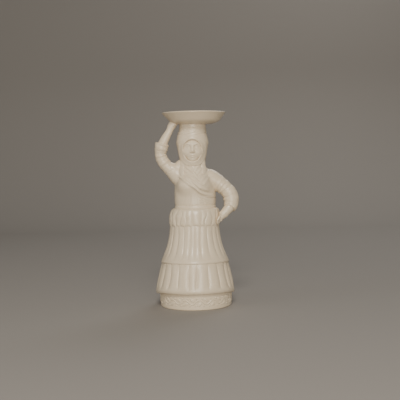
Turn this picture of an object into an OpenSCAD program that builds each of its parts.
// Porcelain figurine: a woman who carries a shallow dish on her head.
// She stands on a round plinth, one arm raised to the dish and the other hand on her hip.
// Every cast or hand-built piece is its own solid, luted to its neighbours with slip.
// Millimetres, +Z up, the figure faces -Y, and the origin is the centre of the plinth's foot.

/* [Plinth] */
// Radius of the plinth
plinth_r = 33.4; // [32:0.1:35]
// Height of the plinth, with the part that plugs into the skirt
plinth_h = 18; // [17:0.5:20]
// Wall of the plinth
plinth_wall = 3.4; // [2.5:0.1:5]
// Number of leaves in the relief round the plinth
leaf_count = 32; // [24:2:40]

/* [Skirts] */
// Radius of the hem
hem_r = 36.7; // [36:0.1:40]
// Height of the hem above the foot, at the sides
hem_z = 10.8; // [8:0.1:12]
// How much higher the hem is at the front
hem_lift = 4.2; // [0:0.1:5]
// Height of the overskirt's hem above the foot, at the sides
tier_z = 39.5; // [37:0.5:42]
// Number of pleats in each skirt
pleat_count = 24; // [18:1:30]
// Depth of a pleat
pleat_depth = 0.8; // [0:0.1:1.2]

/* [Body] */
// Height of the waist
waist_z = 91.5; // [91:0.1:92]
// Half the width of the bodice
bodice_r = 18.9; // [17:0.1:20]
// Wall of the cast shells
shell_wall = 2.6; // [2:0.1:3]

/* [Head] */
// Half the width of the headscarf
scarf_r = 15; // [14:0.1:16]
// Half the width of the head
head_r = 11.6; // [11:0.1:12]
// Height of the seat for the dish
seat_z = 169.4; // [169:0.1:170]

/* [Dish] */
// Radius of the dish at its rim
dish_r = 29.6; // [28:0.1:33]
// Depth of the dish, outside
dish_h = 10.8; // [10.5:0.1:12]
// Sideways shift of the dish off the axis
dish_x = 1.1; // [0:0.1:3]

/* [Hidden] */
$fn = 64;
glaze = "#ECE6D8";
fit = 0.1;                      // gap that the slip fills between two luted walls
around = 96;                    // facets round a pleated shell
arm_sides = 20;                 // facets round an arm

// How deep the body is from front to back, against its width, at a height.
depth_table = [[0, 1], [34, 1], [88, 0.85], [118, 0.8], [130, 0.76]];
function depth(z) = lookup(z, depth_table);
// How far the body sways sideways at a height; the head comes back over the other side of the axis.
head_x = -0.6;
sway_table = [[0, 0], [76, 0], [92, 0.9], [108, 0.9], [131, head_x]];
function sway(z) = lookup(z, sway_table);

function unit(v) = v / norm(v);
// 1 at the front, falling to 0 at the sides and behind; broad at the top, like a hem that is caught up.
function frontness(angle) = let (c = max(0, -sin(angle))) 1 - pow(1 - c, 2);
// A pleat: rounded on top, with a narrow valley.
function pleat(angle, count) = abs(cos(angle * count / 2)) - 0.6;

// ---- surfaces ----

// Side triangles of a grid of rings, each with the same number of points.
function ring_faces(rings, n, closed_rings) = [
    for (i = [0 : rings - (closed_rings ? 1 : 2)], j = [0 : n - 1])
        let (k = (i + 1) % rings, m = (j + 1) % n, a = i * n + j, b = i * n + m, c = k * n + m, d = k * n + j)
            each [[a, b, c], [a, c, d]]
];

// A shell swept round Z. Each profile point is [radius, height, pleat share, lift share],
// up the outside and down the inside.
module shell_round(profile, count = pleat_count, deep = pleat_depth, lift = 0, facets = around) {
    n = len(profile);
    points = [
        for (i = [0 : facets - 1], p = profile)
            let (angle = 360 * (i + 0.5) / facets,
                 r = p[0] + p[2] * deep * pleat(angle, count),
                 z = p[1] + p[3] * lift * frontness(angle))
                [sway(p[1]) + r * cos(angle), r * depth(p[1]) * sin(angle), z]
    ];
    polyhedron(points, ring_faces(facets, n, true));
}

// A solid through rings of points, closed by a flat face at each end.
module lofted(rings) {
    n = len(rings[0]);
    last = (len(rings) - 1) * n;
    polyhedron([for (ring = rings) each ring],
               concat(ring_faces(len(rings), n, false),
                      [[for (j = [n - 1 : -1 : 0]) j], [for (j = [0 : n - 1]) last + j]]));
}

// ---- arms ----

// A smooth curve through four neighbouring stations, at a share t of the way between the middle two.
function curve(a, b, c, d, t) =
    0.5 * (2 * b + (c - a) * t + (2 * a - 5 * b + 4 * c - d) * t * t + (3 * b - a - 3 * c + d) * t * t * t);
steps = 3;                      // rings between two stations of an arm
function smooth_line(p) = let (n = len(p)) [
    for (i = [0 : n - 2], s = [0 : steps - 1])
        curve(p[max(i - 1, 0)], p[i], p[i + 1], p[min(i + 2, n - 1)], s / steps),
    p[n - 1]
];
// A station is [outer x, outer z, inner x, inner z, y, half the depth] of the arm seen from the front.
function arm_ring(s, grow = 0) = let (
        outer = [s[0], s[4], s[1]], inner = [s[2], s[4], s[3]], half = (outer - inner) / 2,
        wide = half + grow * unit(half)) [
    for (j = [0 : arm_sides - 1]) let (a = 360 * j / arm_sides)
        (outer + inner) / 2 + cos(a) * wide + [0, (s[5] + grow) * sin(a) * sign(-s[0]), 0]
];
// The same station drawn in towards its centre.
function drawn_in(s, share) = let (cx = (s[0] + s[2]) / 2, cz = (s[1] + s[3]) / 2)
    [cx + (s[0] - cx) * share, cz + (s[1] - cz) * share, cx + (s[2] - cx) * share, cz + (s[3] - cz) * share,
     s[4], s[5] * share];

seat_centre = [14, 119.3];      // flat on the shoulder that takes a sleeve: x and z
seat_lean = 20;                 // how far the flat looks upward
// Raised arm: the sleeve from the shoulder seat over the elbow, then the cuff's end, then the bare forearm.
right_arm = [[-17.6, 109.6, -10.6, 129, 0, 8], [-19.6, 113.2, -15.2, 132.2, 0, 7.8],
             [-24.2, 119.8, -19.4, 133.4, 0, 6.9], [-29.4, 126, -22.2, 135.6, -0.5, 6.1],
             [-33.6, 132.4, -24, 139.4, -1, 6], [-35.9, 140, -24.6, 142.6, -1.6, 6],
             [-36, 145.2, -24, 146, -2, 6]];
right_cuff_end = [-34.8, 151.9, -22.3, 153.9, -2.6, 6.3];
right_wrist = [[-27.8, 161.3, -20.6, 158, -3, 3.8], [-24.6, 166.4, -18.4, 163.6, -2.4, 3.6]];
// Arm on the hip, in the same order.
left_arm = [[10.6, 129, 17.6, 109.6, 0, 8], [19.5, 126.4, 19.8, 108, 0, 7.8],
            [26.7, 119.2, 22.7, 105.8, -0.4, 6.8],
            [33.2, 113.4, 26, 103, -0.8, 6.3], [39.1, 107.7, 28.2, 99.9, -1.2, 6.3],
            [42.1, 98.8, 28.6, 97, -1.8, 6.3], [41.6, 93.2, 28.4, 94.6, -2.6, 6.3]];
left_cuff_end = [39, 87.6, 27.6, 91.8, -4.2, 6.5];
left_wrist = [[33.4, 83.9, 26.4, 89, -5.6, 5.2], [29.4, 80.8, 25, 87.2, -7, 4.6]];

module sleeve(stations) {
    line = smooth_line(stations);
    lofted([for (s = line) arm_ring(s)]);
}
module cuff(start, end) {
    lofted([for (g = [[0, 0.5], [0.25, 0.9], [0.75, 0.9], [1, 0.4]])
        arm_ring(start + (end - start) * g[0], g[1])]);
}
module forearm(start, wrist) {
    lofted([for (s = smooth_line(concat([drawn_in(start, 0.72)], wrist))) arm_ring(s)]);
}

// ---- plinth and skirts ----

module base_plinth() {
    plate = 3;                  // thickness of the top plate and of the floor
    top_vent_r = 6;             // lets the kiln's air out of the skirt
    floor_vent_r = 3;           // lets it out of the plinth
    floor_vent_y = 16;
    color(glaze) difference() {
        rotate_extrude() polygon([
            [0, 0], [plinth_r - 1, 0], [plinth_r, 1], [plinth_r, plinth_h - 0.6],
            [plinth_r - 0.6, plinth_h], [top_vent_r, plinth_h], [top_vent_r, plinth_h - plate],
            [plinth_r - plinth_wall, plinth_h - plate], [plinth_r - plinth_wall, plate], [0, plate]
        ]);
        translate([0, floor_vent_y, -1]) cylinder(r = floor_vent_r, h = plate + 2);
    }
}

// A point on the plinth's wall, raised by a height; along runs round the wall from an angle.
function on_wall(angle, along, z, height) =
    let (a = angle + along / plinth_r * 180 / PI, r = plinth_r + height) [r * cos(a), r * sin(a), z];

// A leaning leaf: a dome whose back lies on the wall.
module leaf(angle, z, lean) {
    length = 3;
    width = 1.25;
    sides = 12;
    function at(share, turn) = let (u = length * share * cos(turn), v = width * share * sin(turn))
        on_wall(angle, u * cos(lean) - v * sin(lean), z + u * sin(lean) + v * cos(lean),
                0.9 * (1 - share * share));
    points = concat([for (share = [1, 0.7, 0.35], j = [0 : sides - 1]) at(share, 360 * j / sides)],
                    [at(0, 0)]);
    top = 3 * sides;
    polyhedron(points, concat(
        [[for (j = [0 : sides - 1]) j]],
        [for (i = [0, 1], j = [0 : sides - 1])
            let (m = (j + 1) % sides, a = i * sides + j, b = i * sides + m, c = b + sides, d = a + sides)
                each [[a, c, b], [a, d, c]]],
        [for (j = [0 : sides - 1]) [top - sides + j, top, top - sides + (j + 1) % sides]]));
}

// The relief: a running stem with a leaf in every bend.
module base_frieze() {
    middle = 7.4;
    wave = 2;                   // how far the stem swings up and down
    thick = 0.55;
    per_leaf = 6;               // stations of the stem between two leaves
    count = leaf_count * per_leaf;
    points = [for (i = [0 : count - 1]) let (a = 360 * i / count, z = middle + wave * sin(a * leaf_count / 2))
        each [on_wall(a, 0, z - 0.5, 0), on_wall(a, 0, z - 0.3, thick), on_wall(a, 0, z + 0.3, thick),
              on_wall(a, 0, z + 0.5, 0)]];
    color(glaze) {
        polyhedron(points, ring_faces(count, 4, true));
        for (i = [0 : leaf_count - 1]) let (up = i % 2 == 0 ? 1 : -1)
            leaf(360 * (i + 0.5) / leaf_count, middle - up * 1.9, up * 32);
    }
}

module underskirt() {
    tuck_z = 48;                // how far the skirt runs up inside the overskirt
    color(glaze) shell_round([
        [plinth_r + fit, hem_z + 0.4, 0, 0.8], [hem_r - 1.6, hem_z, 0, 1],
        [hem_r - 0.4, hem_z + 1, 0.2, 1], [hem_r, hem_z + 2.8, 0.4, 1], [hem_r - 0.4, hem_z + 7, 1, 0.7],
        [35.1, 23.4, 1, 0.2], [33.4, 31, 1, 0], [31.6, tier_z - 1, 0.6, 0], [28.6, tier_z + 2.6, 0, 0],
        [28.2, tuck_z - 1, 0, 0], [27.2, tuck_z, 0, 0], [27.2 - shell_wall, tuck_z, 0, 0],
        [28.6, tier_z - 4, 0, 0], [30.8, 26, 0, 0], [30.9, plinth_h, 0, 0], [plinth_r + fit, plinth_h, 0, 0]
    ], lift = hem_lift);
}

module overskirt() {
    lift_tier = 1.8;            // the upper hem is caught up a little too
    color(glaze) shell_round([
        [28.8, tier_z + 3.4, 0, 0.3], [30.1, tier_z + 1.2, 0, 0.8], [31.6, tier_z, 0.3, 1],
        [31.9, tier_z + 1, 0.5, 1], [30.3, tier_z + 4, 1, 0.8], [27.8, 50, 1, 0.2],
        [25.6, 56.5, 1, 0], [24.3, 63, 1, 0], [23.4, 69, 0.8, 0],
        [22.2, 76, 0.2, 0], [19.6, 84, 0, 0], [18.6, waist_z - 1, 0, 0],
        [18.6 - shell_wall, waist_z - 1, 0, 0], [20.4, 72, 0, 0], [22.4, 60, 0, 0], [25, 51, 0, 0],
        [27.2, 48.3, 0, 0], [28.4, 46.8, 0, 0]
    ], lift = lift_tier);
}

module waist_frill() {
    gather_count = 32;
    color(glaze) shell_round([
        [23.1, 75.2, 0.2, 0], [23.9, 74.6, 1, 0], [24.1, 77, 1, 0], [23.9, 83.5, 1, 0], [23, 87.6, 0.8, 0],
        [20.4, waist_z - 0.8, 0.2, 0], [19, waist_z - 0.5, 0, 0], [19, 87.6, 0, 0], [20.2, 84, 0, 0],
        [22.7, 76.4, 0, 0]
    ], count = gather_count, deep = 0.5);
}

module waistband() {
    color(glaze) shell_round([
        [16.3, waist_z - 0.4, 0, 0], [19.3, waist_z - 0.4, 0, 0], [19.7, waist_z + 0.4, 0, 0],
        [19.7, waist_z + 1.6, 0, 0], [19.3, waist_z + 2.2, 0, 0], [16.3, waist_z + 2.2, 0, 0]
    ], facets = 48);
}

// ---- body ----

// The bodice's outer line, from the waist to the neck.
bodice_line = [[bodice_r - 0.3, waist_z + 2.3], [bodice_r, 99], [bodice_r + 0.1, 106], [bodice_r - 0.3, 111],
               [bodice_r - 1.4, 118], [bodice_r - 3.4, 124], [13.2, 127.8], [11.8, 129.6]];
function grown(line, by) = [for (p = line) [p[0] + by, p[1], 0, 0]];
function turned(line) = [for (i = [len(line) - 1 : -1 : 0]) line[i]];

// Takes away what lies outside the flat seats for the sleeves.
module with_shoulder_seats() {
    seat_tall = 24;
    difference() {
        children();
        for (side = [-1, 1]) translate([side * seat_centre[0], 0, seat_centre[1]])
            rotate([0, -side * seat_lean, 0]) translate([side * 10, 0, -1])
                cube([20, 60, seat_tall], center = true);
    }
}

module bodice() {
    neck_bore = 8;              // takes the neck's lower spigot, front to back
    color(glaze) with_shoulder_seats() shell_round(concat(
        [[13.4, waist_z - 3, 0, 0], [16, waist_z - 3, 0, 0], [16, waist_z + 2.3, 0, 0]],
        grown(bodice_line, 0),
        [[neck_bore / 0.76, 129.6, 0, 0], [neck_bore / 0.76, 125, 0, 0]],
        [[11.4, 121, 0, 0], [12.4, 113, 0, 0], [13.4, 100, 0, 0]]), facets = 48);
}

// The kerchief over the shoulders, a skin over the upper bodice. It crosses on the chest.
module shawl() {
    thick = 1.3;
    hem_drop = 30;              // slope of the edge that crosses the chest
    collar_z = 131;             // top of the roll at the neck, which joins front and back over the shoulders
    upper = [for (p = bodice_line) if (p[1] > 98) p];
    collar = [[12.4, collar_z, 0, 0], [10.9, collar_z, 0, 0], [10.9, 129.65, 0, 0]];
    color(glaze) difference() {
        with_shoulder_seats()
            shell_round(concat(grown(upper, thick), collar, turned(grown(upper, fit / 2))), facets = 48);
        translate([0, -19.9, 111.5]) rotate([0, hem_drop, 0])
            translate([0, 0, -15]) cube([60, 40, 30], center = true);
        for (side = [-1, 1]) translate([0, 20, 100]) rotate([0, -side * 25, 0])
            translate([side * 20, 0, -15]) cube([60, 40, 30], center = true);
        translate([13, -19.9, 104]) rotate([0, -50, 0])
            translate([25, 0, -15]) cube([50, 40, 30], center = true);
        translate([0, -18, 131]) rotate([0, 45, 0]) cube([13, 24, 13], center = true);
    }
}

module neck() {
    vent = 2;                   // air path between the head and the body
    color(glaze) translate([head_x, 0, 0]) rotate_extrude()
        polygon([[vent, 122], [7.4, 122], [7.4, 130.1], [8.2, 130.1], [7.2, 131.6], [7.2, 137], [vent, 137]]);
}

// ---- head ----

module nose() {
    hull() {
        translate([0, -11.3, 148]) sphere(r = 0.9, $fn = 24);
        translate([0, -12.3, 142]) sphere(r = 1.1, $fn = 24);
        for (side = [-1, 1]) translate([side * 1.2, -10.8, 141.6]) sphere(r = 0.9, $fn = 24);
    }
}
module head() {
    chin_z = 131;
    crown_z = 160;
    middle = 148.5;
    spigot_r = 7.3;             // takes the neck's upper spigot
    color(glaze) translate([head_x, 0, 0]) difference() {
        union() {
            rotate_extrude() polygon([
                [0, chin_z], for (a = [-75 : 15 : 75]) let (tall = a < 0 ? middle - chin_z : crown_z - middle)
                    [head_r * cos(a), middle + tall * sin(a)],
                [0, crown_z]
            ]);
            nose();
            for (side = [-1, 1]) translate([side * 4.1, -8.9, 148.4]) sphere(r = 2);
            for (z = [137.4, 138.5]) translate([0, -8.2, z])
                rotate_extrude() translate([1.9, 0]) circle(r = 0.7);
        }
        translate([0, 0, chin_z - 1]) cylinder(r = spigot_r, h = 7.2);
        translate([0, 0, 146]) sphere(r = 7);
    }
}

module headscarf() {
    inner = head_r + 1.5;       // clears the hair
    window_w = 9.4;             // half the width of the face opening
    color(glaze) translate([head_x, 0, 0]) difference() {
        rotate_extrude() polygon([
            [7.4, 131], [11, 131.4], [12.4, 138], [13.5, 143.5], [scarf_r, 152.5], [14.2, 157], [13.1, 161.6],
            [6, 161.6], [6, 160.2], [inner - 2, 159.2], [inner, 154], [inner, 144], [11.8, 138], [9.6, 134],
            [7.4, 133.4]
        ]);
        for (z = [142, 149]) translate([0, 0, z]) rotate([90, 0, 0]) cylinder(r = window_w, h = 30);
        translate([0, -15, 145.5]) cube([2 * window_w, 30, 7], center = true);
    }
}

// The scarf's two ends, which fall in front of the shoulders.
module scarf_ends() {
    thick = 2.6;
    color(glaze) for (side = [-1, 1])
        lofted([for (p = [[10.4, -6.2, 132.3, 1.6], [10.5, -8, 129, 2.1], [10.4, -11.2, 124.6, 2.2],
                          [9.8, -12.4, 120.4, 1.7]])
            [for (j = [0 : 11])
                [head_x + side * (p[0] + p[3] * cos(30 * j)), p[1] + thick / 2 * sin(30 * j) * side, p[2]]]]);
}

module head_pad() {
    top = seat_z;
    bore = 6.1;                 // takes the spigot under the dish
    color(glaze) rotate_extrude() polygon([
        [bore, 161.7], [12.6, 161.7], for (a = [-60 : 30 : 60]) [11.9 + 0.8 * cos(a), 163.6 + 1.7 * sin(a)],
        for (a = [-60 : 30 : 60]) [11.5 + 0.8 * cos(a), 167 + 1.6 * sin(a)], [12, top], [bore, top]
    ]);
}

module dish() {
    lip = 1.9;
    foot_r = 11;
    rim_z = seat_z + dish_h;
    floor_z = -7.9;             // the flat inside, from the rim
    color(glaze) union() {
        translate([dish_x, 0, rim_z]) rotate_extrude() polygon([
            [0, -dish_h + 0.5], [foot_r + 2, -dish_h + 0.7], [19.4, -9.6], [22.4, -8.3], [25.4, -5.6],
            [dish_r, -0.7], [dish_r - 0.5, 0], [dish_r - lip, 0], [21.8, -6], [20.4, -7.2], [18.4, floor_z],
            [0, floor_z]
        ]);
        translate([0, 0, seat_z]) cylinder(r = foot_r, h = 1.6);
        translate([0, 0, seat_z - 3]) cylinder(r = 6, h = 4);
    }
}

// ---- the arms' pieces ----

module right_sleeve() { color(glaze) sleeve(right_arm); }
module right_cuff() { color(glaze) cuff(right_arm[6], right_cuff_end); }
module right_forearm() { color(glaze) forearm(right_cuff_end, right_wrist); }
module left_sleeve() { color(glaze) sleeve(left_arm); }
module left_cuff() { color(glaze) cuff(left_arm[6], left_cuff_end); }
module left_forearm() { color(glaze) forearm(left_cuff_end, left_wrist); }

// An open hand, the palm and the fingers in one.
module right_hand() {
    color(glaze) hull() {
        for (p = [[-22.2, -3.2, 168.4, 2], [-19.6, -3, 167, 2.2],
                  [-18, 3.6, 168.6, 1.4], [-22, 4, 169.8, 1.4]])
            translate([p[0], p[1], p[2]]) sphere(r = p[3], $fn = 24);
    }
}
module left_hand() {
    color(glaze) hull() {
        for (p = [[27.6, -7.2, 84.8, 2.5], [27.2, -7, 81, 2.5],
                  [20.9, -13.8, 86, 1.3], [21.1, -13.4, 79.4, 1.3]])
            translate([p[0], p[1], p[2]]) sphere(r = p[3], $fn = 24);
    }
}

base_plinth();
base_frieze();
underskirt();
overskirt();
waist_frill();
waistband();
bodice();
shawl();
neck();
head();
headscarf();
scarf_ends();
head_pad();
dish();
right_sleeve();
right_cuff();
right_forearm();
right_hand();
left_sleeve();
left_cuff();
left_forearm();
left_hand();
